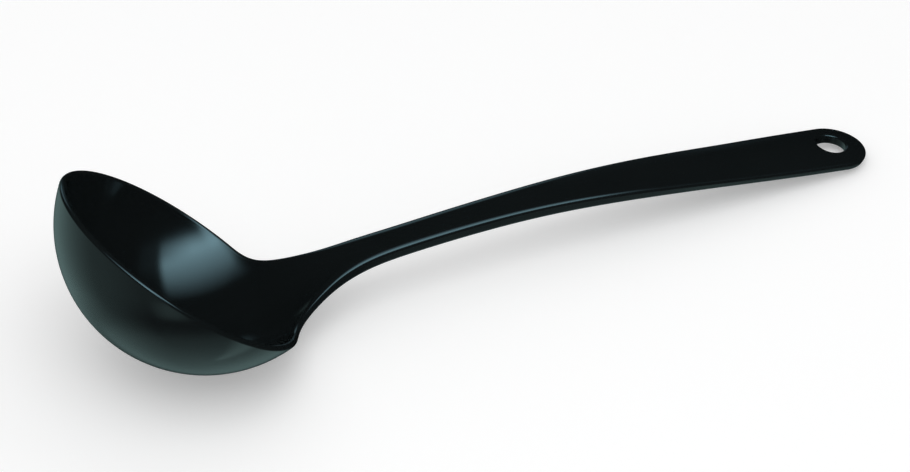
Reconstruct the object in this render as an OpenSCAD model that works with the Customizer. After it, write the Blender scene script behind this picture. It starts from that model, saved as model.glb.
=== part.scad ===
// Soup ladle: one plastic moulding of a round bowl and an arched strap handle,
// lying at rest on a table. The bowl's underside and the tip of the handle
// touch the table at z = 0, and +X runs along the handle towards its tip.
// The moulding is drawn as two bodies that meet face to face at a flat seam
// across the low end of the bowl, where the neck of the handle begins.

/* [Whole ladle] */
// Length from the far side of the bowl to the tip of the handle
overall_length = 304; // [280:1:330]

/* [Bowl] */
// Outside diameter of the rim
rim_diameter = 95; // [90:0.5:100]
// Depth of the outside of the bowl below its rim
bowl_depth = 35.2; // [33:0.1:38]
// Thickness of the bowl's wall
wall = 2.5; // [2:0.1:3.5]
// Rounding of the two edges of the lip
lip_round = 1; // [0.3:0.1:1.1]
// Tilt of the rim towards the handle when the ladle lies on a table
rim_tilt = 40; // [37:0.5:43]

/* [Handle] */
// Height of the top of the arch above the table
arch_height = 23.2; // [21:0.1:26]
// Downward slope of the straight end of the handle
end_slope = 8.7; // [6:0.1:10]
// Width at the narrowest place, just past the neck
neck_width = 13.2; // [11:0.1:17]
// Width across the rounded end
end_width = 25.3; // [22:0.1:30]
// Thickness of the narrow half
neck_thickness = 5.3; // [4:0.1:6]
// Thickness around the hanging hole
end_thickness = 3.6; // [3:0.1:5]
// Rise of the middle of the end above its long edges
end_crown = 1.7; // [0.5:0.1:2]

/* [Hanging hole] */
// Diameter of the hole's straight wall
hole_diameter = 11; // [8:0.1:13]
// Rounding of the hole's edge on both faces
hole_round = 0.8; // [0.3:0.1:1]
// Distance of the hole back from the centre of the round end
hole_back = 0.9; // [0:0.1:2]

/* [Hidden] */
shell_colour = "#101415";

// The bowl is a cap of a spherical shell.
rim_r = rim_diameter / 2;
outer_r = (rim_r * rim_r + bowl_depth * bowl_depth) / (2 * bowl_depth);
inner_r = outer_r - wall;
// Height of the sphere's centre above the plane of the rim
drop = outer_r - bowl_depth;
// Angle at the sphere's centre from the bottom of the bowl to the lip
cap_angle = acos(drop / outer_r);
// Distance of the seam from the bowl's own axis
seam_at = 0.758 * rim_r;
// Spacing of the control sections that follow the sphere beside the seam
seam_step = 3;

// The round end of the handle
edge_round = 1.2;
tip_reach = (end_width / 2 - edge_round) * cos(end_slope) - edge_round * sin(end_slope) + edge_round;
end_x = overall_length - outer_r - tip_reach;
end_z = (end_thickness + end_crown) * cos(end_slope) + end_width / 2 * sin(end_slope);
end_step = 0.0886 * end_x;
// The hole's two rounded edges are set lower by half the crown's drop at the rim
crown_r = (pow(end_width / 2, 2) + end_crown * end_crown) / (2 * end_crown);
hole_sink = (crown_r - sqrt(crown_r * crown_r - pow(hole_diameter / 2 + hole_round, 2))) / 2;

// Moves the origin to the middle of the whole ladle's footprint
shift_x = outer_r - overall_length / 2;

rings_per_span = 6;
top_steps = 6;
corner_steps = 4;
turn_steps = 27;
$fn = 96;

// A control section of the neck and handle is a list of
// [x, z, lean, half width, dish, thickness, edge slant,
//  top corner across, top corner down, bottom corner across, bottom corner down].
// x and z place the middle of its top face, lean tips it towards the tip of the
// handle, and dish is how far the middle of the top face lies below its edges,
// negative where the middle stands above them.

// The section of the bowl at distance d from its axis, as a control section
function bowl_section(d) =
    let (in = sqrt(inner_r * inner_r - d * d))
    let (out = sqrt(outer_r * outer_r - d * d))
    let (up = drop - in)
    let (edge_up = drop - inner_r * cos(cap_angle))
    let (half = sqrt(pow(inner_r * sin(cap_angle), 2) - d * d))
    let (slant_angle = atan2(sqrt(rim_r * rim_r - d * d), drop) - atan2(half, drop - edge_up))
    let (across = lip_round * 1.07)
    let (down = lip_round * (out - in) / wall)
    [
        (up - drop) * sin(rim_tilt) + d * cos(rim_tilt),
        outer_r + (up - drop) * cos(rim_tilt) - d * sin(rim_tilt),
        rim_tilt,
        half,
        edge_up - up,
        out - in,
        slant_angle * PI / 180 * in / (out - in),
        across, down, across, down
    ];

// Three control sections that start the neck on the bowl, in place, slope and bend
seam_before = bowl_section(seam_at - seam_step);
seam_here = bowl_section(seam_at);
seam_after = bowl_section(seam_at + seam_step);
seam_bend = seam_before - 2 * seam_here + seam_after;
seam_slope = (seam_after - seam_before) / 2;
seam_1 = seam_here - seam_bend / 6;
seam_2 = seam_1 + seam_slope + seam_bend / 2;
seam_0 = seam_2 - 2 * seam_slope;

// A section of the neck or arch: along is a share of the way from the bowl's
// lowest point to the end's centre, and height a share of the arch's height. The
// rounding of its top edges reaches further in across the face than it goes down.
function strap(along, height, lean, half, dish, thick, slant, reach, round_top, round_under) =
    [along * end_x, height * arch_height - min(dish, 0), lean, half, dish, thick, slant,
     reach * round_top, round_top, round_under, round_under];

// A section of the straight end, a number of steps past its centre
function straight(steps, half) =
    [end_x + steps * end_step, end_z - steps * end_step * tan(end_slope), end_slope,
     half, -end_crown, end_thickness, -0.05, edge_round, edge_round, edge_round, edge_round];

half_neck = neck_width / 2;
half_end = end_width / 2;
mid_thickness = (neck_thickness + end_thickness) / 2;
controls = [
    seam_0,
    seam_1,
    seam_2,
    strap(0.080, 0.27, 35, 2.78 * half_neck, 9, 0.76 * neck_thickness, 0.15, 1, 1, 1),
    strap(0.113, 0.46, 26, 2.19 * half_neck, 5, 0.80 * neck_thickness, 0.05, 1.3, 1.2, 1),
    strap(0.148, 0.67, 15, 1.70 * half_neck, 2.2, 0.85 * neck_thickness, 0, 1.7, 1.7, 1.2),
    strap(0.185, 0.84, 4, 1.24 * half_neck, 0.8, 0.92 * neck_thickness, 0, 2, 2, 1.4),
    strap(0.231, 0.95, -5, 1.04 * half_neck, 0.2, 0.98 * neck_thickness, -0.05, 2, 2, 1.4),
    strap(0.288, 0.98, -2, 0.99 * half_neck, 0, neck_thickness, -0.05, 2, 2, 1.4),
    strap(0.363, 1.00, -1, 1.01 * half_neck, 0, neck_thickness, -0.05, 2, 1.9, 1.4),
    strap(0.445, 1.00, 2, 1.05 * half_neck, 0, neck_thickness, -0.05, 2, 1.7, 1.4),
    strap(0.536, 0.96, 5, (2 * half_neck + half_end) / 3.25, -0.1, 0.95 * neck_thickness, -0.05,
          1.9, 1.5, 1.3),
    strap(0.635, 0.85, 8, (half_neck + half_end) / 2, -0.3, mid_thickness, -0.05, 1.5, 1.4, 1.2),
    strap(0.733, 0.69, 8.8, 0.86 * half_end, -0.5 * end_crown, (mid_thickness + end_thickness) / 2,
          -0.05, 1.2, 1.3, 1.2),
    straight(-2, 0.925 * half_end),
    straight(-1, 0.985 * half_end),
    straight(0, 1.003 * half_end),
    straight(1, 1.003 * half_end)
];
spans = len(controls) - 3;

// The section at place t of the smooth curve (a cubic B-spline) through the controls
function section(t) =
    let (i = min(floor(t), spans - 1))
    let (f = t - i)
    (pow(1 - f, 3) * controls[i]
     + (3 * pow(f, 3) - 6 * f * f + 4) * controls[i + 1]
     + (3 * f + 3 * f * f - 3 * pow(f, 3) + 1) * controls[i + 2]
     + pow(f, 3) * controls[i + 3]) / 6;

// Bend of a section's top face: the inverse of its radius
function bend(s) = 2 * s[4] / (s[3] * s[3] + s[4] * s[4]);

// Distance along the top face from its middle to its edge
function half_length(s) =
    abs(s[4]) < 0.001 ? s[3] : 2 * atan2(s[4], s[3]) * PI / 180 / bend(s);

// The point at distance u along a section's top face and depth q below it, as
// its distance to the side and its height in the section's plane
function across(s, u, q) =
    let (k = bend(s))
    let (v = u * (1 + s[6] * q / half_length(s)))
    let (a = k * v * 180 / PI)
    abs(k) < 0.0001 ? [v, -q] : [sin(a) * (1 / k + q), (1 - cos(a)) / k - q * cos(a)];

// The point in space at a distance ahead of a section, to its side and up
function place(s, ahead, side, up) = [
    s[0] + ahead * cos(s[2]) + up * sin(s[2]),
    side,
    s[1] - ahead * sin(s[2]) + up * cos(s[2])
];

// One side of a section's outline as [u, q], from the middle of the top to the bottom
function side_outline(s) =
    let (half = half_length(s))
    [
        for (i = [0 : top_steps]) [(half - s[7]) * i / top_steps, 0],
        for (i = [1 : corner_steps])
            let (a = 90 * i / corner_steps)
            [half - s[7] + s[7] * sin(a), s[8] - s[8] * cos(a)],
        for (i = [0 : corner_steps])
            let (a = 90 * i / corner_steps)
            [half - s[9] + s[9] * cos(a), s[5] - s[10] + s[10] * sin(a)],
        for (i = [top_steps - 1 : -1 : 0]) [(half - s[9]) * i / top_steps, s[5]]
    ];

// The closed outline of a section in space
function ring(s) =
    let (outline = [for (p = side_outline(s)) across(s, p[0], p[1])])
    [
        for (p = outline) place(s, 0, p[0], p[1]),
        for (i = [len(outline) - 2 : -1 : 1]) place(s, 0, -outline[i][0], outline[i][1])
    ];

// One side of a section's outline, turned by an angle about its middle
function turned(s, angle) = [
    for (p = side_outline(s))
        let (c = across(s, p[0], p[1]))
        place(s, c[0] * sin(angle), c[0] * cos(angle), c[1])
];

// Number of the point at place i of the round end's outline k, where count is
// the number of points in a ring and tip is the last ring's first point
function turn_point(k, i, tip, count) =
    k == 0 || i == 0 || i == count / 2 ? tip + i :
    k == turn_steps ? tip + count - i :
    tip + count + (k - 1) * (count / 2 - 1) + i - 1;

// The neck and strap in one skin. Its flat start is made of strips from the top
// face to the bottom face, one on each side of the middle, and its round end is
// the last section's outline turned about its middle.
module strap_body() {
    rings = [for (i = [0 : spans * rings_per_span]) ring(section(i / rings_per_span))];
    count = len(rings[0]);
    under = count / 2;
    tip = (len(rings) - 1) * count;
    end_points = [
        for (k = [1 : turn_steps - 1])
            let (outline = turned(section(spans), 180 * k / turn_steps))
            for (i = [1 : under - 1]) outline[i]
    ];
    sides = [
        for (i = [0 : len(rings) - 2])
            for (j = [0 : count - 1])
                let (n = (j + 1) % count)
                each [
                    [i * count + j, i * count + n, (i + 1) * count + n],
                    [i * count + j, (i + 1) * count + n, (i + 1) * count + j]
                ]
    ];
    start = [
        for (side = [0, 1])
            for (j = [0 : under / 2 - 1])
                let (a = side ? (count - j) % count : j)
                let (b = side ? count - j - 1 : j + 1)
                let (c = side ? under + j + 1 : under - j - 1)
                let (d = side ? under + j : under - j)
                each (side ? [[a, b, c], [a, c, d]] : [[a, c, b], [a, d, c]])
    ];
    round_end = [
        for (k = [0 : turn_steps - 1])
            for (i = [0 : under - 1])
                let (a = turn_point(k, i, tip, count))
                let (b = turn_point(k, i + 1, tip, count))
                let (c = turn_point(k + 1, i + 1, tip, count))
                let (d = turn_point(k + 1, i, tip, count))
                each concat(i < under - 1 ? [[a, b, c]] : [], i > 0 ? [[a, c, d]] : [])
    ];
    points = concat([for (r = rings) each r], end_points);
    polyhedron(points, concat(start, sides, round_end), convexity = 6);
}

// The place in the bowl's profile at radius r, a distance s below the lip
function lip_place(r, s) =
    let (a = cap_angle - s * 180 / PI / r)
    [r * sin(a), -r * cos(a)];

// The profile of everything above the lip, which rounds the lip's two edges
module above_lip() {
    far = 2 * outer_r;
    turn = 75;
    low = lip_round * (1 - cos(turn));
    polygon([
        [0, far],
        [0, 0],
        lip_place(inner_r - wall, low),
        for (i = [corner_steps : -1 : 0])
            let (a = turn * i / corner_steps)
            lip_place(inner_r + lip_round * (1 - sin(a)), lip_round * (1 - cos(a))),
        for (i = [0 : corner_steps])
            let (a = turn * i / corner_steps)
            lip_place(outer_r - lip_round * (1 - sin(a)), lip_round * (1 - cos(a))),
        lip_place(outer_r + wall, low),
        [far, 0],
        [far, far]
    ]);
}

module bowl() {
    size = 3 * outer_r;
    color(shell_colour)
        translate([shift_x, 0, outer_r])
            difference() {
                sphere(outer_r);
                sphere(inner_r);
                rotate([0, rim_tilt, 0])
                    rotate_extrude()
                        above_lip();
                rotate([0, rim_tilt, 0])
                    translate([seam_at, -size / 2, -size / 2])
                        cube(size);
            }
}

// The hanging hole with its rounded edges, as the space to take away. Above the
// rounding its profile flares on past the strap's face, so it crosses that face
// at an angle.
module hanging_hole() {
    r = hole_diameter / 2;
    turn = 75;
    reach = hole_round * (1 - cos(turn) + sin(turn));
    edge = [
        for (i = [0 : corner_steps])
            let (a = turn * i / corner_steps)
            hole_round * [1 - cos(a), sin(a)],
        [reach, hole_round * (sin(turn) + cos(turn))],
        [reach, end_thickness]
    ];
    rotate_extrude()
        polygon([
            [0, end_thickness - hole_round],
            for (i = [len(edge) - 1 : -1 : 0]) [r + edge[i][0], edge[i][1] - hole_round],
            for (e = edge) [r + e[0], hole_round - end_thickness - e[1]],
            [0, hole_round - 2 * end_thickness]
        ]);
}

module handle() {
    color(shell_colour)
        translate([shift_x, 0, 0])
            difference() {
                strap_body();
                translate([end_x, 0, end_z])
                    rotate([0, end_slope, 0])
                        translate([-hole_back, 0, -hole_sink])
                            hanging_hole();
            }
}

bowl();
handle();
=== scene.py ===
"""A black plastic soup ladle lying on a pale table, under soft studio light.

The ladle is one moulding: a round bowl and an arched strap handle. They are two
pieces that meet at a flat seam, and their points and normals agree there.
Shapes are worked out in millimetres, with the bowl's lowest point at x = 0, and
only for the half with y >= 0. The other half is its mirror image.

The light has two parts. A soft light, the world and the table's own glow light the
surfaces, and a surround that lights nothing shows in the ladle's gloss.
"""

import math

import bpy
import numpy as np
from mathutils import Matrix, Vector


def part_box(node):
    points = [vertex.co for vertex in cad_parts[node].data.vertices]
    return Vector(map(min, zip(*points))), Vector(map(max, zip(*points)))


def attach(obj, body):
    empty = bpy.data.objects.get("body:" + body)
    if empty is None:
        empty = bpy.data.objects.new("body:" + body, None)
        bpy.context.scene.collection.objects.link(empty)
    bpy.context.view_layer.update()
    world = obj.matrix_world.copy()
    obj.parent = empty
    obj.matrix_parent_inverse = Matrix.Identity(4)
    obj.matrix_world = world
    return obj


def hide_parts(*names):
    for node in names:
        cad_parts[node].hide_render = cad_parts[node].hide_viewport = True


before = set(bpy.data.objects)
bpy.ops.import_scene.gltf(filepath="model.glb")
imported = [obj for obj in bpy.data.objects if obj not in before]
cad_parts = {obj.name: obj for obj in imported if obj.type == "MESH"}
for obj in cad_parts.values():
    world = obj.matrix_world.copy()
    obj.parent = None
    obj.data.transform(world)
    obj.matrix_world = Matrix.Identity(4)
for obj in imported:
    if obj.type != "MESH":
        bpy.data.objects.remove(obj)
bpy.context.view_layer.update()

MM = 0.001

# The ladle's own sizes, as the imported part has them.
RIM_R = 47.5
BOWL_DEPTH = 35.2
WALL = 2.5
LIP_ROUND = 1.0
RIM_TILT = math.radians(40)
ARCH_HEIGHT = 23.2
END_SLOPE = math.radians(8.7)
HALF_NECK = 6.6
HALF_END = 12.65
NECK_THICKNESS = 5.3
END_THICKNESS = 3.6
END_CROWN = 1.7
EDGE_ROUND = 1.2
HOLE_R = 5.5
HOLE_ROUND = 0.8
HOLE_BACK = 0.9
LENGTH = 304.0

OUTER_R = (RIM_R**2 + BOWL_DEPTH**2) / (2 * BOWL_DEPTH)
INNER_R = OUTER_R - WALL
DROP = OUTER_R - BOWL_DEPTH
CAP_ANGLE = math.acos(DROP / OUTER_R)
SEAM_AT = 0.758 * RIM_R    # distance of the seam from the bowl's axis
SEAM_STEP = 3.0    # distance between the sections that start the neck
CORNER_REACH = 1.07    # size of the neck's corners across, as a share of the lip's round
EDGE_SLANT = -0.05    # how far the strap's sides lean out for each 1 down
TIP_REACH = (
    (HALF_END - EDGE_ROUND) * math.cos(END_SLOPE)
    - EDGE_ROUND * math.sin(END_SLOPE)
    + EDGE_ROUND
)
END_X = LENGTH - OUTER_R - TIP_REACH
END_Z = (END_THICKNESS + END_CROWN) * math.cos(END_SLOPE) + HALF_END * math.sin(END_SLOPE)
END_STEP = 0.0886 * END_X    # distance between the sections of the straight end

# How finely the surfaces are divided.
FACE_STEPS = 22    # half the width of a face
CORNER_STEPS = 7    # a rounded edge
SIDE_STEPS = 3    # the flat between two rounded edges
RIM_STEPS = 110    # half the rim, from the seam round to the far side
BOWL_ROWS = 40    # from the bowl's lowest point to its lip
RINGS_PER_SPAN = 12    # the strap, between two control sections
TURN_STEPS = 36    # a quarter turn of the round end
PATCH_ROWS = 5    # from the round end's edge to the hole
WALL_STEPS = 3    # the straight wall of the hole
PATCH_FROM = 14.5    # place on the spline where the faces round the hole start

# Small steps for slopes taken from two points, and what counts as none or as flat.
SLOPE_STEP = 1e-4
FACE_SLOPE_STEP = 0.01
NOTHING = 1e-6
FLAT_DISH = 0.001


# ---------------------------------------------------------------- a half mesh


class HalfMesh:
    """Points, normals and faces with y >= 0, to be mirrored into a whole mesh."""

    def __init__(self):
        self.points, self.normals, self.faces, self.flat = [], [], [], []
        self.count = 0

    def add(self, points, normals):
        """Adds an array of points, and gives an array of their numbers."""
        points = np.asarray(points, float)
        normals = np.broadcast_to(normals, points.shape)
        shape = points.shape[:-1]
        self.points.append(points.reshape(-1, 3))
        self.normals.append(normals.reshape(-1, 3))
        numbers = self.count + np.arange(int(np.prod(shape))).reshape(shape)
        self.count += numbers.size
        return numbers

    def quads(self, grid, flip=False):
        """Faces between the rows of a grid of point numbers."""
        a, b = grid[:-1, :-1].ravel(), grid[:-1, 1:].ravel()
        c, d = grid[1:, 1:].ravel(), grid[1:, :-1].ravel()
        corners = (d, c, b, a) if flip else (a, b, c, d)
        self.faces += np.stack(corners, -1).tolist()

    def fan(self, centre, row, flip=False):
        """Triangles from one point to a row of points."""
        for a, b in zip(row[:-1].tolist(), row[1:].tolist()):
            self.faces.append([centre, b, a] if flip else [centre, a, b])

    def end(self, face, normal):
        """A flat face whose shading doesn't blend into its neighbours."""
        self.flat.append((list(face), normal))

    def build(self, name):
        """The whole mesh as a new object, with its mirror image and its own normals."""
        points = np.concatenate(self.points)
        normals = np.concatenate(self.normals)
        normals /= np.linalg.norm(normals, axis=1, keepdims=True)
        middle = np.abs(points[:, 1]) < NOTHING
        points[middle, 1] = 0
        twin = np.arange(len(points))
        twin[~middle] = len(points) + np.arange((~middle).sum())
        points = np.concatenate([points, points[~middle] * (1, -1, 1)])
        normals = np.concatenate([normals, normals[~middle] * (1, -1, 1)])
        smooth = len(self.faces)
        half = self.faces + [f for f, _ in self.flat]
        faces = half + [twin[f[::-1]].tolist() for f in half]
        ends = [n for _, n in self.flat]

        mesh = bpy.data.meshes.new(name)
        mesh.from_pydata((points * MM + ORIGIN).tolist(), [], faces)
        mesh.polygons.foreach_set("use_smooth", [True] * len(faces))
        corner_normals = normals[[v for f in faces for v in f]]
        loop = 0
        for number, face in enumerate(faces):
            which = number % len(half) - smooth
            if which >= 0:
                corner_normals[loop : loop + len(face)] = ends[which]
            loop += len(face)
        mesh.normals_split_custom_set(corner_normals.tolist())
        mesh.validate()
        mesh.update()
        piece = bpy.data.objects.new(name, mesh)
        bpy.context.collection.objects.link(piece)
        return piece


# ------------------------------------------------------------------- the bowl

# The bowl's own directions: ALONG its rim towards the handle, and UP its axis.
ALONG = np.array([math.cos(RIM_TILT), 0, -math.sin(RIM_TILT)])
UP = np.array([math.sin(RIM_TILT), 0, math.cos(RIM_TILT)])
ACROSS = np.array([0.0, 1.0, 0.0])
ORIGIN = np.array([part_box("bowl")[0].x + OUTER_R * MM, 0, 0])
CENTRE = np.array([0, 0, OUTER_R])


def around(radius, angle, turn):
    """Directions out from and along a meridian of the bowl, and the point there.

    angle is from the bowl's lowest point in its own axis, turn is round it.
    """
    side = np.cos(turn)[..., None] * ALONG + np.sin(turn)[..., None] * ACROSS
    out = np.sin(angle)[..., None] * side - np.cos(angle)[..., None] * UP
    rise = np.cos(angle)[..., None] * side + np.sin(angle)[..., None] * UP
    return out, rise, CENTRE + np.asarray(radius)[..., None] * out


def lip_profile():
    """Radius, angle and normal (out, rise) from the inside of the lip to its outside."""
    quarter = np.linspace(math.pi / 2, 0, CORNER_STEPS + 1)
    soft = LIP_ROUND
    rows = [
        (INNER_R + soft * (1 - math.sin(a)), soft * (1 - math.cos(a)), -math.sin(a), math.cos(a))
        for a in quarter
    ]
    for k in range(1, SIDE_STEPS):
        share = k / SIDE_STEPS
        rows.append((INNER_R + soft + share * (WALL - 2 * soft), 0, 0, 1))
    rows += [
        (OUTER_R - soft * (1 - math.sin(a)), soft * (1 - math.cos(a)), math.sin(a), math.cos(a))
        for a in quarter[::-1]
    ]
    radius, below, out, rise = np.array(rows).T
    return radius, CAP_ANGLE - below / radius, out, rise


def seam_turn(radius, angle):
    """How far round the bowl the seam plane cuts a circle of its surface."""
    return np.arccos(np.minimum(SEAM_AT / (radius * np.sin(angle)), 1))


def bowl_columns(radius, angle_at_lip):
    """Turn and end angle of each column of one of the bowl's two spheres."""
    circle = math.sqrt(radius**2 - SEAM_AT**2)
    corner = seam_turn(radius, angle_at_lip)
    edge = math.asin(radius * math.sin(angle_at_lip) * math.sin(corner) / circle)
    swing = np.linspace(0, edge, FACE_STEPS + 1)
    side = circle * np.sin(swing)
    turn = np.arctan2(side, SEAM_AT)
    angle = np.arcsin(np.hypot(side, SEAM_AT) / radius)
    rim = corner + (math.pi - corner) * np.linspace(0, 1, RIM_STEPS + 1)[1:]
    return np.concatenate([turn, rim]), np.concatenate([angle, np.full(RIM_STEPS, angle_at_lip)])


def make_bowl():
    """The bowl, and the points and normals of its seam's outline."""
    mesh = HalfMesh()
    radii, angles, outs, rises = lip_profile()
    share = np.linspace(0, 1, BOWL_ROWS + 1)[1:, None]
    grids = []
    for end, radius, sign in ((0, INNER_R, -1), (-1, OUTER_R, 1)):
        turn, angle = bowl_columns(radius, angles[end])
        out, _, points = around(np.float64(radius), share * angle, np.tile(turn, (BOWL_ROWS, 1)))
        grid = mesh.add(points, sign * out)
        mesh.quads(grid, flip=sign < 0)
        pole = mesh.add(CENTRE - radius * UP, -sign * UP)
        mesh.fan(int(pole), grid[0], flip=sign > 0)
        grids.append(grid)
    inner, outer = grids

    start = seam_turn(radii, angles)[1:-1, None]
    along = np.linspace(0, 1, RIM_STEPS + 1)
    turn = start + (math.pi - start) * along
    angle = np.broadcast_to(angles[1:-1, None], turn.shape)
    out, rise, points = around(radii[1:-1, None], angle, turn)
    normals = outs[1:-1, None, None] * out + rises[1:-1, None, None] * rise
    lip = mesh.add(points, normals)
    lip = np.concatenate([inner[-1:, FACE_STEPS:], lip, outer[-1:, FACE_STEPS:]])
    mesh.quads(lip, flip=True)

    for j in range(FACE_STEPS):
        mesh.end([inner[-1, j + 1], inner[-1, j], outer[-1, j], outer[-1, j + 1]], ALONG)
    mesh.end(lip[:, 0].tolist()[::-1], ALONG)

    outline = np.concatenate([inner[-1, : FACE_STEPS + 1], lip[1:-1, 0], outer[-1, FACE_STEPS::-1]])
    points = np.concatenate(mesh.points)[outline]
    normals = np.concatenate(mesh.normals)[outline]
    return mesh.build("ladle_bowl"), points, normals


# ----------------------------------------------------------------- the handle
#
# A control section is [x, z, lean, half width, dish, thickness, edge slant, and
# the top and bottom corners' size across and down]. A cubic B-spline through the
# sections is the neck and strap.


def bowl_section(d):
    """The section of the bowl at distance d from its axis, as a control section."""
    inside, outside = math.sqrt(INNER_R**2 - d**2), math.sqrt(OUTER_R**2 - d**2)
    up = DROP - inside
    edge_up = DROP - INNER_R * math.cos(CAP_ANGLE)
    half = math.sqrt((INNER_R * math.sin(CAP_ANGLE)) ** 2 - d**2)
    slant = math.atan2(math.sqrt(RIM_R**2 - d**2), DROP) - math.atan2(half, DROP - edge_up)
    thick = outside - inside
    corner = [LIP_ROUND * CORNER_REACH, LIP_ROUND * thick / WALL]
    return np.array([
        (up - DROP) * UP[0] + d * ALONG[0],
        OUTER_R + (up - DROP) * UP[2] + d * ALONG[2],
        RIM_TILT,
        half,
        edge_up - up,
        thick,
        slant * inside / thick,
        *corner,
        *corner,
    ])


def seam_sections():
    """Three control sections that start the neck on the bowl, in place, slope and bend."""
    before, here, after = (bowl_section(SEAM_AT + k * SEAM_STEP) for k in (-1, 0, 1))
    bend, slope = before - 2 * here + after, (after - before) / 2
    first = here - bend / 6
    second = first + slope + bend / 2
    return [second - 2 * slope, first, second]


def strap(along, height, lean, half, dish, thick, slant, reach, top, under):
    """A section of the neck or arch, by its share of the strap's length and height.

    reach is how far the rounding of its top edges comes in across, for each 1 down.
    """
    return np.array([
        along * END_X, height * ARCH_HEIGHT - min(dish, 0), math.radians(lean), half, dish,
        thick, slant, reach * top, top, under, under,
    ])


def straight(steps, half):
    """A section of the straight end, a number of steps past its centre."""
    return np.array([
        END_X + steps * END_STEP, END_Z - steps * END_STEP * math.tan(END_SLOPE), END_SLOPE,
        half, -END_CROWN, END_THICKNESS, EDGE_SLANT, *[EDGE_ROUND] * 4,
    ])


MID_THICKNESS = (NECK_THICKNESS + END_THICKNESS) / 2
CONTROLS = np.array([
    *seam_sections(),
    strap(0.080, 0.27, 35, 2.78 * HALF_NECK, 9, 0.76 * NECK_THICKNESS, 0.15, 1, 1, 1),
    strap(0.113, 0.46, 26, 2.19 * HALF_NECK, 5, 0.80 * NECK_THICKNESS, 0.05, 1.3, 1.2, 1),
    strap(0.148, 0.67, 15, 1.70 * HALF_NECK, 2.2, 0.85 * NECK_THICKNESS, 0, 1.7, 1.7, 1.2),
    strap(0.185, 0.84, 4, 1.24 * HALF_NECK, 0.8, 0.92 * NECK_THICKNESS, 0, 2, 2, 1.4),
    strap(0.231, 0.95, -5, 1.04 * HALF_NECK, 0.2, 0.98 * NECK_THICKNESS, EDGE_SLANT, 2, 2, 1.4),
    strap(0.288, 0.98, -2, 0.99 * HALF_NECK, 0, NECK_THICKNESS, EDGE_SLANT, 2, 2, 1.4),
    strap(0.363, 1.00, -1, 1.01 * HALF_NECK, 0, NECK_THICKNESS, EDGE_SLANT, 2, 1.9, 1.4),
    strap(0.445, 1.00, 2, 1.05 * HALF_NECK, 0, NECK_THICKNESS, EDGE_SLANT, 2, 1.7, 1.4),
    strap(
        0.536, 0.96, 5, (2 * HALF_NECK + HALF_END) / 3.25, -0.1, 0.95 * NECK_THICKNESS,
        EDGE_SLANT, 1.9, 1.5, 1.3,
    ),
    strap(
        0.635, 0.85, 8, (HALF_NECK + HALF_END) / 2, -0.3, MID_THICKNESS,
        EDGE_SLANT, 1.5, 1.4, 1.2,
    ),
    strap(
        0.733, 0.69, 8.8, 0.86 * HALF_END, -0.5 * END_CROWN,
        (MID_THICKNESS + END_THICKNESS) / 2, EDGE_SLANT, 1.2, 1.3, 1.2,
    ),
    straight(-2, 0.925 * HALF_END),
    straight(-1, 0.985 * HALF_END),
    straight(0, 1.003 * HALF_END),
    straight(1, 1.003 * HALF_END),
])
SPANS = len(CONTROLS) - 3


def sections(places):
    """The sections at an array of places on the spline."""
    i = np.minimum(places.astype(int), SPANS - 1)
    f = (places - i)[:, None]
    return (
        (1 - f) ** 3 * CONTROLS[i]
        + (3 * f**3 - 6 * f**2 + 4) * CONTROLS[i + 1]
        + (3 * f + 3 * f**2 - 3 * f**3 + 1) * CONTROLS[i + 2]
        + f**3 * CONTROLS[i + 3]
    ) / 6


def outline(s):
    """One side of each section's outline, from the middle of its top to that of its bottom.

    Gives the distance u along the top face and the depth q below it, and the
    direction in which they run, one row for each section.
    """
    half, thick = half_length(s), s[:, 5]
    top_in, top_down, under_in, under_down = s[:, 7:11].T
    run = np.linspace(0, 1, FACE_STEPS + 1)
    rows = [((half - top_in) * k, 0 * half, half, 0 * half) for k in run]
    for a in np.linspace(0, math.pi / 2, CORNER_STEPS + 1)[1:]:
        sin, cos = math.sin(a), math.cos(a)
        rows.append((
            half - top_in * (1 - sin), top_down * (1 - cos), top_in * cos, top_down * sin,
        ))
    for k in np.linspace(0, 1, SIDE_STEPS + 1)[1:-1]:
        rows.append((half, top_down + k * (thick - top_down - under_down), 0 * half, half))
    for a in np.linspace(0, math.pi / 2, CORNER_STEPS + 1):
        sin, cos = math.sin(a), math.cos(a)
        rows.append((
            half - under_in * (1 - cos), thick - under_down * (1 - sin),
            -under_in * sin, under_down * cos,
        ))
    rows += [((half - under_in) * k, thick, -half, 0 * half) for k in run[-2::-1]]
    u, q, du, dq = (np.array(column).T for column in zip(*rows))
    length = np.hypot(du, dq)
    return u, q, du / length, dq / length


def bend(s):
    """Bend of each section's top face: the inverse of its radius."""
    half, dish = s[:, 3], s[:, 4]
    k = 2 * dish / (half**2 + dish**2)
    return np.where(np.abs(k) < NOTHING, NOTHING, k)


def half_length(s):
    """Distance along each section's top face from its middle to its edge."""
    half, dish = s[:, 3], s[:, 4]
    curved = 2 * np.arctan2(dish, half) / bend(s)
    return np.where(np.abs(dish) < FLAT_DISH, half, curved)


def across(s, u, q):
    """Distance to the side and height of places along and below each section's top face."""
    k, half = bend(s)[:, None], half_length(s)[:, None]
    a = k * u * (1 + s[:, 6, None] * q / half)
    return np.sin(a) * (1 / k + q), (1 - np.cos(a)) / k - q * np.cos(a)


def place(s, u, q):
    """Points at distance u along each section's top face and depth q below it."""
    side, up = across(s, u, q)
    x, z, lean = (s[:, i, None] for i in range(3))
    return np.stack([x + up * np.sin(lean), side, z + up * np.cos(lean)], -1)


def strap_rings(places):
    """Points and outward normals of the strap's outline at each place."""
    step = SLOPE_STEP
    s = sections(places)
    u, q, du, dq = outline(s)
    points = place(s, u, q)
    round_it = place(s, u + step * du, q + step * dq) - place(s, u - step * du, q - step * dq)
    low, high = np.maximum(places - step, 0), np.minimum(places + step, SPANS)
    ahead = [place(t, *outline(t)[:2]) for t in (sections(low), sections(high))]
    normals = np.cross(ahead[1] - ahead[0], round_it)
    return points, normals / np.linalg.norm(normals, axis=-1, keepdims=True)


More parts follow.
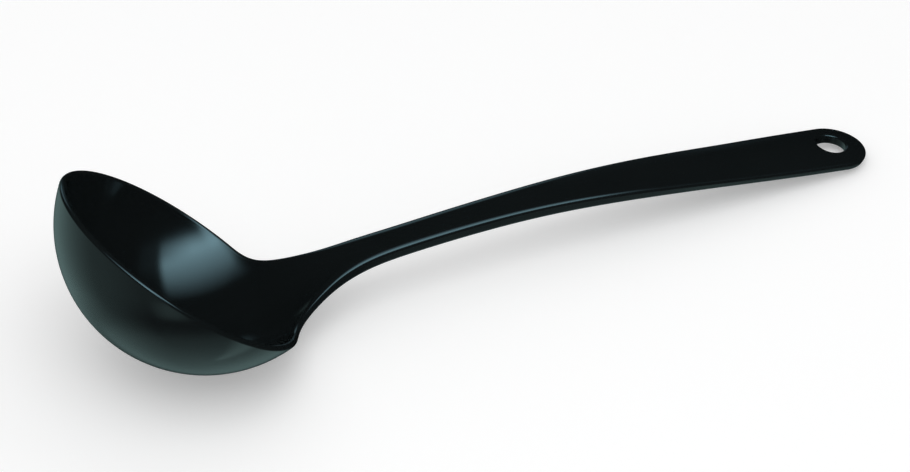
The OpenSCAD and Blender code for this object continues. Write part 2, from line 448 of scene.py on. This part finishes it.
class RoundEnd:
    """The flat place at the end of the strap, in directions of its own."""

    last = sections(np.array([float(SPANS)]))
    ahead = np.array([math.cos(END_SLOPE), 0, -math.sin(END_SLOPE)])
    up = np.array([math.sin(END_SLOPE), 0, math.cos(END_SLOPE)])
    middle = np.array([last[0, 0], 0, last[0, 1]])

    def point(self, ahead, side, up):
        """Points in space at distances from the middle of the end's top face."""
        return (
            self.middle + np.asarray(ahead)[..., None] * self.ahead
            + np.asarray(side)[..., None] * ACROSS + np.asarray(up)[..., None] * self.up
        )

    def height(self, ahead, side, depth):
        """Height of the crowned top face, or of the underside at a depth below it."""
        back = np.minimum(ahead, 0) * math.cos(END_SLOPE) / END_STEP
        half = sections(SPANS + back.ravel())[:, 3].reshape(back.shape)
        radius = (half**2 + END_CROWN**2) / (2 * END_CROWN)
        reach = np.hypot(np.maximum(ahead, 0), side)
        return np.sqrt((radius - depth) ** 2 - reach**2) - radius

    def face(self, ahead, side, depth):
        """Points of the top face or underside, and the upward normals there."""
        step = FACE_SLOPE_STEP
        slope_ahead, slope_side = (
            (self.height(ahead + i, side + j, depth) - self.height(ahead - i, side - j, depth))
            / (2 * step)
            for i, j in ((step, 0), (0, step))
        )
        normals = self.up - slope_ahead[..., None] * self.ahead - slope_side[..., None] * ACROSS
        normals /= np.linalg.norm(normals, axis=-1, keepdims=True)
        return self.point(ahead, side, self.height(ahead, side, depth)), normals

    def turned_edge(self, angles, first, final):
        """Points and normals of part of the last outline, turned about its middle."""
        step = SLOPE_STEP
        u, q, du, dq = outline(self.last)
        side, up = (part[0, first:final] for part in across(self.last, u, q))
        after = across(self.last, u + step * du, q + step * dq)
        before = across(self.last, u - step * du, q - step * dq)
        out, rise = ((a - b)[0, first:final] for a, b in zip(after, before))
        turn = angles[:, None]
        points = self.point(side * np.sin(turn), side * np.cos(turn), up + 0 * turn)
        normals = self.point(-rise * np.sin(turn), -rise * np.cos(turn), out + 0 * turn)
        return points, normals - self.middle


def make_handle(seam_points, seam_normals):
    """The neck and strap, from the seam's outline to the round end."""
    mesh = HalfMesh()
    places = np.arange(SPANS * RINGS_PER_SPAN + 1) / RINGS_PER_SPAN
    points, normals = strap_rings(places)
    share = np.clip(1 - places, 0, 1)[:, None, None]
    share = share**2 * (3 - 2 * share)
    points = points + share * (seam_points - points[0])
    normals = normals + share * (seam_normals - normals[0])

    split = int(PATCH_FROM * RINGS_PER_SPAN)
    width = points.shape[1]
    top, under = FACE_STEPS, width - FACE_STEPS
    grid = mesh.add(points[: split + 1], normals[: split + 1])
    mesh.quads(grid, flip=True)
    for j in range(FACE_STEPS):
        k = width - 1 - j
        mesh.end([grid[0, j], grid[0, j + 1], grid[0, k - 1], grid[0, k]], -ALONG)
    mesh.end(grid[0, top:under].tolist(), -ALONG)

    # The rounded edge goes on round the end, and the faces stop at the split.
    end = RoundEnd()
    angles = np.linspace(0, math.pi / 2, TURN_STEPS + 1)
    turned, turned_normals = end.turned_edge(angles[1:], top, under)
    side = mesh.add(points[split + 1 :, top:under], normals[split + 1 :, top:under])
    front = mesh.add(turned, turned_normals)
    edge = np.concatenate([grid[split:, top:under], side, front])
    mesh.quads(edge, flip=True)

    # Faces round the hole, from the edge's first and last lines to the hole's rims.
    every = np.concatenate(mesh.points)
    borders = [
        np.concatenate([grid[split, :top], edge[:, 0]]),
        np.concatenate([grid[split, :under - 1:-1], edge[:, -1]]),
    ]
    arms = every[borders[0]] - end.middle
    hole = mesh.add(*hole_rows(end, np.arctan2(arms @ ACROSS, arms @ end.ahead + HOLE_BACK)))
    mesh.quads(hole, flip=True)
    face_patch(mesh, end, borders[0], hole[0], 0, 1)
    face_patch(mesh, end, borders[1], hole[-1], END_THICKNESS, -1)
    return mesh.build("ladle_handle")


def hole_rows(end, turn):
    """Points and normals of the hole's rim, wall and lower rim, at turns about its middle."""
    ray = np.stack([np.cos(turn), np.sin(turn)])
    rim_r = HOLE_R + HOLE_ROUND
    rays = end.point(*ray, 0 * turn) - end.middle
    rims = [
        end.face(rim_r * ray[0] - HOLE_BACK, rim_r * ray[1], depth)
        for depth in (0, END_THICKNESS)
    ]
    quarter = np.linspace(0, math.pi / 2, CORNER_STEPS + 1)
    profile = [(1 - math.sin(a), 1 - math.cos(a), math.sin(a), math.cos(a)) for a in quarter]
    upper, lower = (
        [
            (
                rim - HOLE_ROUND * ((1 - out) * rays + sign * down * end.up),
                sign * rise * normal - inwards * rays,
            )
            for out, down, inwards, rise in profile
        ]
        for (rim, normal), sign in zip(rims, (1, -1))
    )
    wall = [
        ((1 - k) * upper[-1][0] + k * lower[-1][0], -rays)
        for k in np.linspace(0, 1, WALL_STEPS + 1)[1:-1]
    ]
    return [np.array(part) for part in zip(*upper, *wall, *lower[::-1])]


def face_patch(mesh, end, border, rim, depth, sign):
    """The end's top face (sign 1) or underside (-1), from its border to the hole's rim."""
    every = np.concatenate(mesh.points)
    shares = np.linspace(0, 1, PATCH_ROWS + 1)[1:-1, None]
    arms = [every[line] - end.middle for line in (border, rim)]
    ahead, side = (
        (1 - shares) * (arms[0] @ way) + shares * (arms[1] @ way)
        for way in (end.ahead, ACROSS)
    )
    points, normals = end.face(ahead, side, depth)
    patch = np.concatenate([border[None], mesh.add(points, sign * normals), rim[None]])
    mesh.quads(patch, flip=sign > 0)


bowl, seam_points, seam_normals = make_bowl()
handle = make_handle(seam_points, seam_normals)


# --------------------------------------------------------------- the material


def node(tree, kind, values=None, **settings):
    """A new shader node with some of its sockets and settings filled in."""
    made = tree.nodes.new(kind)
    for name, value in settings.items():
        setattr(made, name, value)
    for name, value in (values or {}).items():
        made.inputs[name].default_value = value
    return made


def black_plastic():
    """Moulded black plastic with a slightly teal cast and a satin surface."""
    material = bpy.data.materials.new("black_plastic")
    material.use_nodes = True
    tree = material.node_tree
    tree.nodes.clear()
    link = tree.links.new
    out = node(tree, "ShaderNodeOutputMaterial")
    shader = node(tree, "ShaderNodeBsdfPrincipled", {"IOR": 1.5})
    where = node(tree, "ShaderNodeTexCoord")
    link(shader.outputs[0], out.inputs[0])

    cloud = node(tree, "ShaderNodeTexNoise", {"Scale": 28.0, "Detail": 4.0, "Roughness": 0.55})
    link(where.outputs["Object"], cloud.inputs["Vector"])
    tint = node(tree, "ShaderNodeMix", data_type="RGBA")
    tint.inputs["A"].default_value = (0.0052, 0.0072, 0.0076, 1)
    tint.inputs["B"].default_value = (0.0074, 0.0098, 0.0104, 1)
    link(cloud.outputs["Fac"], tint.inputs["Factor"])
    link(tint.outputs["Result"], shader.inputs["Base Color"])

    smear = node(tree, "ShaderNodeTexNoise", {"Scale": 60.0, "Detail": 6.0, "Roughness": 0.6})
    link(where.outputs["Object"], smear.inputs["Vector"])
    satin = node(tree, "ShaderNodeMapRange", {
        "From Min": 0.3, "From Max": 0.7, "To Min": 0.09, "To Max": 0.15,
    })
    link(smear.outputs["Fac"], satin.inputs["Value"])
    link(satin.outputs["Result"], shader.inputs["Roughness"])

    grain = node(tree, "ShaderNodeTexNoise", {"Scale": 1800.0, "Detail": 2.0})
    link(where.outputs["Object"], grain.inputs["Vector"])
    bump = node(tree, "ShaderNodeBump", {"Strength": 0.04, "Distance": 0.0001})
    link(grain.outputs["Fac"], bump.inputs["Height"])
    link(bump.outputs["Normal"], shader.inputs["Normal"])
    return material


plastic = black_plastic()
for piece, name in ((bowl, "bowl"), (handle, "handle")):
    piece.data.materials.append(plastic)
    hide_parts(name)
    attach(piece, "root")


# ------------------------------------------------- the table, light and camera


def pale_floor():
    """A wide pale table top at z = 0, which glows a little and doesn't show in gloss."""
    mesh = bpy.data.meshes.new("table_top")
    size = 3.0
    corners = [(-size, -size, 0), (size, -size, 0), (size, size, 0), (-size, size, 0)]
    mesh.from_pydata(corners, [], [(0, 1, 2, 3)])
    floor = bpy.data.objects.new("table_top", mesh)
    bpy.context.collection.objects.link(floor)
    material = bpy.data.materials.new("pale_table")
    material.use_nodes = True
    shader = material.node_tree.nodes["Principled BSDF"]
    shader.inputs["Base Color"].default_value = (0.86, 0.86, 0.86, 1)
    shader.inputs["Roughness"].default_value = 0.7
    shader.inputs["Specular IOR Level"].default_value = 0.2
    shader.inputs["Emission Color"].default_value = (1, 1, 1, 1)
    shader.inputs["Emission Strength"].default_value = 0.3
    mesh.materials.append(material)
    floor.visible_glossy = False


# What the ladle's gloss shows of the studio, as levels of light by direction. The
# levels were set from how bright the photograph's reflections are in each
# direction. Elevations and directions round the horizon are in degrees, with 0
# towards the handle's tip and 90 behind the ladle.
COOL = np.array([0.5, 0.86, 1.0])    # light from above
TEAL = np.array([0.63, 1.0, 0.98])    # light from below
SURROUND_R = 4.0    # in metres
SURROUND_STEP = 2.0    # size of its faces, in degrees

# Nearly all of this is below the table's level, and it can show because the table
# doesn't. It is light straight under the ladle, and then lights that each have a
# direction, how far they reach to each side of it, and levels at some elevations.
UNDER_LIGHT = ((-90, -75, -60, -52, -46), (0.38, 0.31, 0.2, 0.05, 0.0))
LOW_LIGHTS = (
    (30, 60, (-85, -70, -50, -40), (0.0, 0.12, 0.1, 0.0)),
    (140, 62, (-75, -55, -40, 0, 5), (0.0, 0.25, 0.28, 0.28, 0)),
    (115, 45, (-50, -42, -20, -8, 5), (0.0, 0.2, 0.25, 0.2, 0)),
    (205, 50, (-42, -28, -10, 5), (0.0, 0.12, 0.16, 0)),
    (-139, 16, (-42, -37, -29, -24), (0.0, 0.33, 0.33, 0.0)),
    (-64, 28, (-80, -65, -50, -38, -28), (0.3, 0.4, 0.22, 0.08, 0.0)),
)
BACK_WALL = (72, 17, (0, 8, 25, 30), (0.0, 0.6, 0.6, 0.0))

# One window in the ceiling. Places in it are to the right of the ladle and in front
# of it, as shares of the ceiling's height above it.
LOWEST_CEILING = 0.05    # least upward part of a direction that meets the ceiling
WINDOW_FRONT = (
    (-0.1, 0.0, 0.1, 0.2, 0.3, 0.45, 0.65, 0.75, 0.9, 1.05, 1.15, 1.35),
    (0.0, 0.5, 1.2, 2.1, 3.0, 4.3, 6.2, 6.0, 3.9, 1.6, 0.4, 0.0),
)
WINDOW_SIDES = ((-0.68, -0.48, 0.57, 0.69), (0, 1, 1, 0))
FADE_FRONT = ((0.5, 0.7), (0, 1))    # the window is dimmer in front on the right
FADE_RIGHT = ((0, 0.55), (0, 0.55))
CORNER_FRONT = ((0.6, 0.9, 1.15, 1.5, 1.7), (0.0, 2.2, 4.0, 3.6, 0.0))    # its left corner
CORNER_RIGHT = ((-0.38, -0.24), (1, 0))
SPILL_FRONT = ((0.2, 0.5, 1.0, 1.3), (0.0, 0.12, 0.12, 0.0))    # past its right side
SPILL_RIGHT = ((0.57, 0.69, 1.1, 1.4), (0, 1, 1, 0))


def one_side_light(azimuth, elevation, direction, width, elevations, levels):
    """Light from a direction round the horizon, falling to 0 at width from it."""
    off = np.abs((azimuth - direction + 180) % 360 - 180)
    facing = np.cos(np.radians(90 * np.minimum(off / width, 1)))
    return facing * np.interp(elevation, elevations, levels)


def studio_glow(x, y, z):
    """Colours of the surround in directions x, y, z from the ladle."""
    elevation = np.degrees(np.arcsin(np.clip(z, -1, 1)))
    azimuth = np.degrees(np.arctan2(y, x))
    below = np.interp(elevation, *UNDER_LIGHT)
    for low_light in LOW_LIGHTS:
        below += one_side_light(azimuth, elevation, *low_light)

    high = np.maximum(z, LOWEST_CEILING)
    right, front = x / high, -y / high
    window = np.interp(front, *WINDOW_FRONT)
    window *= 1 - np.interp(front, *FADE_FRONT) * np.interp(right, *FADE_RIGHT)
    window += np.interp(front, *CORNER_FRONT) * np.interp(right, *CORNER_RIGHT)
    window *= np.interp(right, *WINDOW_SIDES)
    window += np.interp(front, *SPILL_FRONT) * np.interp(right, *SPILL_RIGHT)
    window *= z > LOWEST_CEILING
    wall = one_side_light(azimuth, elevation, *BACK_WALL)
    return below[:, None] * TEAL + (window + wall)[:, None] * COOL


def surround():
    """A dome round the ladle that shows only in its gloss, and lights nothing else."""
    level = np.radians(np.arange(-90, 91, SURROUND_STEP))
    around_it = np.radians(np.arange(0, 360, SURROUND_STEP))
    el, az = (grid.ravel() for grid in np.meshgrid(level, around_it, indexing="ij"))
    points = np.stack([np.cos(az) * np.cos(el), np.sin(az) * np.cos(el), np.sin(el)], -1)
    colours = np.concatenate([studio_glow(*points.T), np.ones((len(points), 1))], -1)

    count = len(around_it)
    rows = np.arange(len(level) - 1)[:, None] * count
    ring = np.arange(count)
    after = (ring + 1) % count
    faces = np.stack([rows + ring, rows + after, rows + count + after, rows + count + ring], -1)
    mesh = bpy.data.meshes.new("surround")
    mesh.from_pydata((points * SURROUND_R).tolist(), [], faces.reshape(-1, 4).tolist())
    glow = mesh.attributes.new("glow", "FLOAT_COLOR", "POINT")
    glow.data.foreach_set("color", colours.ravel())
    dome = bpy.data.objects.new("surround", mesh)
    dome.location = BOWL_MIDDLE
    dome.visible_camera = dome.visible_diffuse = dome.visible_shadow = False
    bpy.context.collection.objects.link(dome)

    material = bpy.data.materials.new("surround_glow")
    material.use_nodes = True
    material.cycles.emission_sampling = "NONE"
    tree = material.node_tree
    tree.nodes.clear()
    glow_there = node(tree, "ShaderNodeAttribute", attribute_name="glow")
    light = node(tree, "ShaderNodeEmission", {"Strength": 1.0})
    out = node(tree, "ShaderNodeOutputMaterial")
    tree.links.new(glow_there.outputs["Color"], light.inputs["Color"])
    tree.links.new(light.outputs["Emission"], out.inputs["Surface"])
    mesh.materials.append(material)


def softbox(name, direction, side, glow, distance=1.3):
    """A square soft light over the ladle, which doesn't show in its gloss."""
    light = bpy.data.lights.new(name, "AREA")
    light.shape, light.size = "SQUARE", side
    light.energy = glow * math.pi * side**2
    lamp = bpy.data.objects.new(name, light)
    lamp.location = Vector(BOWL_MIDDLE) + Vector(direction).normalized() * distance
    lamp.rotation_euler = Vector(direction).to_track_quat("Z", "Y").to_euler()
    lamp.visible_glossy = False
    bpy.context.collection.objects.link(lamp)


BOWL_MIDDLE = tuple(ORIGIN + np.array([0, 0, 30]) * MM)
pale_floor()
surround()
softbox("soft_light", (-0.1, -0.35, 1), 1.1, 1.2)

world = bpy.data.worlds.new("studio")
world.use_nodes = True
background = world.node_tree.nodes["Background"]
background.inputs["Color"].default_value = (1, 1, 1, 1)
background.inputs["Strength"].default_value = 0.62
world.cycles_visibility.glossy = False
scene = bpy.context.scene
scene.world = world
scene.view_settings.view_transform = "Standard"

# The camera looks down on the ladle from its near left, and aims at the handle's
# arch. The shift that frames the ladle is in shares of the picture's width.
AIM = ORIGIN + np.array([100, 0, 20]) * MM
AZIMUTH = math.radians(-26.0)
ELEVATION = math.radians(36.7)
DISTANCE = 1.2
LENS = 138.1
SHIFT = (-0.026374, -0.020879)
back = Vector((
    math.sin(AZIMUTH) * math.cos(ELEVATION),
    -math.cos(AZIMUTH) * math.cos(ELEVATION),
    math.sin(ELEVATION),
))
lens = bpy.data.cameras.new("camera")
lens.lens = LENS
lens.sensor_width = 36
lens.shift_x, lens.shift_y = SHIFT
camera = bpy.data.objects.new("camera", lens)
camera.location = Vector(AIM) + back * DISTANCE
camera.rotation_euler = back.to_track_quat("Z", "Y").to_euler()
bpy.context.collection.objects.link(camera)
scene.camera = camera
